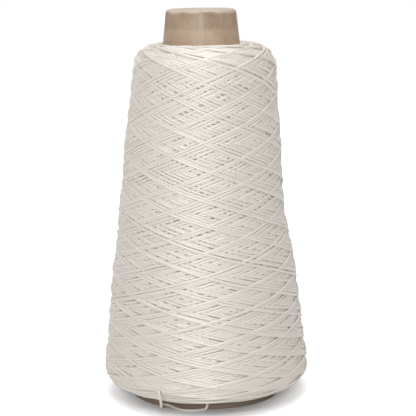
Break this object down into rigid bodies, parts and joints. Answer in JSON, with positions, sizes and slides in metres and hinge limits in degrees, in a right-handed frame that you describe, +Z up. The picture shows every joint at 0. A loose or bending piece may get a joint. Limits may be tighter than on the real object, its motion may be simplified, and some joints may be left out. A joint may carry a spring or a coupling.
{
  "type": "cone of plied thread",
  "caption": "Standing package of off-white plied cord, cross-wound on a tapered kraft-paper cone with a rolled-in nose and an open bore.",
  "frame": {"origin": "centre of the cone's base, on the surface it stands on", "axes": "+Z up along the cone's axis towards its nose; -Y towards the side with the free end of the cord"},
  "size_m": [0.0896, 0.0892, 0.17],
  "materials": {
    "kraft_cover": "matte tan kraft paper, lightly burnished at the nose",
    "chipboard": "matte grey-brown wound chipboard, cut edge at the base",
    "kraft_liner": "matte kraft paper",
    "cord": "off-white plied cord with a soft sheen"
  },
  "bodies": {
    "root": {"cone_outer_ply": "kraft_cover", "cone_board": "chipboard", "cone_liner": "kraft_liner", "wound_core": "cord", "outer_winding": "cord", "thread_tail": "cord"}
  },
  "joints": []
}
